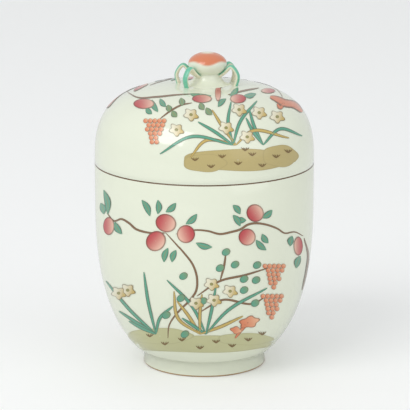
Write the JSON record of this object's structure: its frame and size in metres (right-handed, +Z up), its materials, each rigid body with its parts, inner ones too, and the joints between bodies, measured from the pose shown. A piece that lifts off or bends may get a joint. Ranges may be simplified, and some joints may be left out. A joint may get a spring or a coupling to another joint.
{
  "type": "lidded porcelain jar",
  "caption": "U-shaped porcelain jar on a foot ring with a domed lid that lifts off and a fruit finial between strap loops.",
  "frame": {"origin": "middle of the foot ring's flat underside", "axes": "+Z up along the jar's axis, -Y the painted front"},
  "size_m": [0.16, 0.16, 0.2315],
  "materials": {
    "porcelain_glaze": "pale celadon-white glossy glaze",
    "fruit_enamel": "iron-red enamel over white glaze",
    "loop_enamel": "turquoise enamel with cream edges"
  },
  "bodies": {
    "jar": {"jar_body": "porcelain_glaze"},
    "lid": {"lid_shell": "porcelain_glaze", "finial_stem": "porcelain_glaze", "finial_fruit": "fruit_enamel", "finial_loop_left_front": "loop_enamel", "finial_loop_left_rear": "loop_enamel", "finial_loop_right_front": "loop_enamel", "finial_loop_right_rear": "loop_enamel"}
  },
  "joints": [
    {"name": "lid_lift", "type": "slide", "parent": "jar", "child": "lid", "axis": [0, 0, 1], "range_m": [0, 0.1]}
  ]
}
